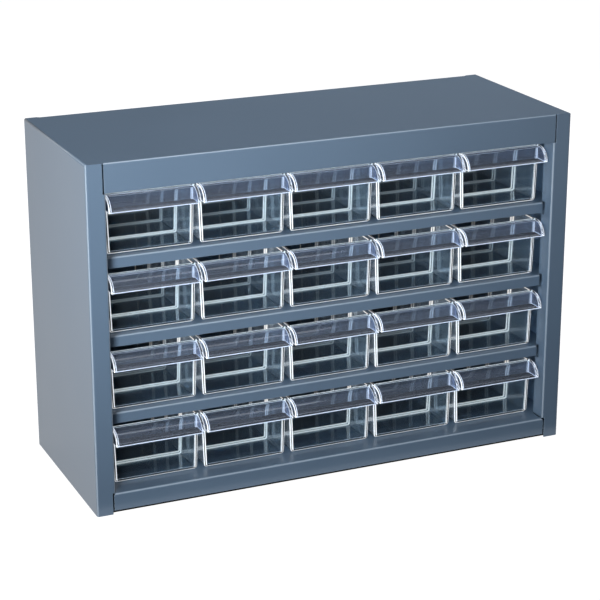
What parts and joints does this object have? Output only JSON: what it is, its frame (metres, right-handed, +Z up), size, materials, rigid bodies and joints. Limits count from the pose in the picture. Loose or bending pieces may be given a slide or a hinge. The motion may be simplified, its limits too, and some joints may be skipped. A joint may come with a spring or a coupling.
{
  "type": "parts bin cabinet",
  "caption": "Folded sheet-steel cabinet with shelves that carry clear moulded bin drawers with curved hood handles, for sorting small parts.",
  "frame": {"origin": "on the ground, under the middle of the case", "axes": "+Z up, drawers face -Y, +X to the right as one faces the drawers"},
  "size_m": [0.438, 0.17, 0.3],
  "materials": {
    "case_enamel": "semi-gloss baked enamel",
    "drawer_plastic": "clear moulded polystyrene"
  },
  "bodies": {
    "cabinet": {"wrapper": "case_enamel", "bottom_panel": "case_enamel", "back_panel": "case_enamel", "shelf_1": "case_enamel", "shelf_2": "case_enamel", "shelf_3": "case_enamel"},
    "drawer_r1_c1": {"drawer_r1_c1": "drawer_plastic"},
    "drawer_r1_c2": {"drawer_r1_c2": "drawer_plastic"},
    "drawer_r1_c3": {"drawer_r1_c3": "drawer_plastic"},
    "drawer_r1_c4": {"drawer_r1_c4": "drawer_plastic"},
    "drawer_r1_c5": {"drawer_r1_c5": "drawer_plastic"},
    "drawer_r2_c1": {"drawer_r2_c1": "drawer_plastic"},
    "drawer_r2_c2": {"drawer_r2_c2": "drawer_plastic"},
    "drawer_r2_c3": {"drawer_r2_c3": "drawer_plastic"},
    "drawer_r2_c4": {"drawer_r2_c4": "drawer_plastic"},
    "drawer_r2_c5": {"drawer_r2_c5": "drawer_plastic"},
    "drawer_r3_c1": {"drawer_r3_c1": "drawer_plastic"},
    "drawer_r3_c2": {"drawer_r3_c2": "drawer_plastic"},
    "drawer_r3_c3": {"drawer_r3_c3": "drawer_plastic"},
    "drawer_r3_c4": {"drawer_r3_c4": "drawer_plastic"},
    "drawer_r3_c5": {"drawer_r3_c5": "drawer_plastic"},
    "drawer_r4_c1": {"drawer_r4_c1": "drawer_plastic"},
    "drawer_r4_c2": {"drawer_r4_c2": "drawer_plastic"},
    "drawer_r4_c3": {"drawer_r4_c3": "drawer_plastic"},
    "drawer_r4_c4": {"drawer_r4_c4": "drawer_plastic"},
    "drawer_r4_c5": {"drawer_r4_c5": "drawer_plastic"}
  },
  "joints": [
    {"name": "slide_r1_c1", "type": "slide", "parent": "cabinet", "child": "drawer_r1_c1", "axis": [0, -1, 0], "range_m": [0, 0.131]},
    {"name": "slide_r1_c2", "type": "slide", "parent": "cabinet", "child": "drawer_r1_c2", "axis": [0, -1, 0], "range_m": [0, 0.131]},
    {"name": "slide_r1_c3", "type": "slide", "parent": "cabinet", "child": "drawer_r1_c3", "axis": [0, -1, 0], "range_m": [0, 0.131]},
    {"name": "slide_r1_c4", "type": "slide", "parent": "cabinet", "child": "drawer_r1_c4", "axis": [0, -1, 0], "range_m": [0, 0.131]},
    {"name": "slide_r1_c5", "type": "slide", "parent": "cabinet", "child": "drawer_r1_c5", "axis": [0, -1, 0], "range_m": [0, 0.131]},
    {"name": "slide_r2_c1", "type": "slide", "parent": "cabinet", "child": "drawer_r2_c1", "axis": [0, -1, 0], "range_m": [0, 0.118]},
    {"name": "slide_r2_c2", "type": "slide", "parent": "cabinet", "child": "drawer_r2_c2", "axis": [0, -1, 0], "range_m": [0, 0.118]},
    {"name": "slide_r2_c3", "type": "slide", "parent": "cabinet", "child": "drawer_r2_c3", "axis": [0, -1, 0], "range_m": [0, 0.118]},
    {"name": "slide_r2_c4", "type": "slide", "parent": "cabinet", "child": "drawer_r2_c4", "axis": [0, -1, 0], "range_m": [0, 0.118]},
    {"name": "slide_r2_c5", "type": "slide", "parent": "cabinet", "child": "drawer_r2_c5", "axis": [0, -1, 0], "range_m": [0, 0.118]},
    {"name": "slide_r3_c1", "type": "slide", "parent": "cabinet", "child": "drawer_r3_c1", "axis": [0, -1, 0], "range_m": [0, 0.118]},
    {"name": "slide_r3_c2", "type": "slide", "parent": "cabinet", "child": "drawer_r3_c2", "axis": [0, -1, 0], "range_m": [0, 0.118]},
    {"name": "slide_r3_c3", "type": "slide", "parent": "cabinet", "child": "drawer_r3_c3", "axis": [0, -1, 0], "range_m": [0, 0.118]},
    {"name": "slide_r3_c4", "type": "slide", "parent": "cabinet", "child": "drawer_r3_c4", "axis": [0, -1, 0], "range_m": [0, 0.118]},
    {"name": "slide_r3_c5", "type": "slide", "parent": "cabinet", "child": "drawer_r3_c5", "axis": [0, -1, 0], "range_m": [0, 0.118]},
    {"name": "slide_r4_c1", "type": "slide", "parent": "cabinet", "child": "drawer_r4_c1", "axis": [0, -1, 0], "range_m": [0, 0.118]},
    {"name": "slide_r4_c2", "type": "slide", "parent": "cabinet", "child": "drawer_r4_c2", "axis": [0, -1, 0], "range_m": [0, 0.118]},
    {"name": "slide_r4_c3", "type": "slide", "parent": "cabinet", "child": "drawer_r4_c3", "axis": [0, -1, 0], "range_m": [0, 0.118]},
    {"name": "slide_r4_c4", "type": "slide", "parent": "cabinet", "child": "drawer_r4_c4", "axis": [0, -1, 0], "range_m": [0, 0.118]},
    {"name": "slide_r4_c5", "type": "slide", "parent": "cabinet", "child": "drawer_r4_c5", "axis": [0, -1, 0], "range_m": [0, 0.118]}
  ]
}
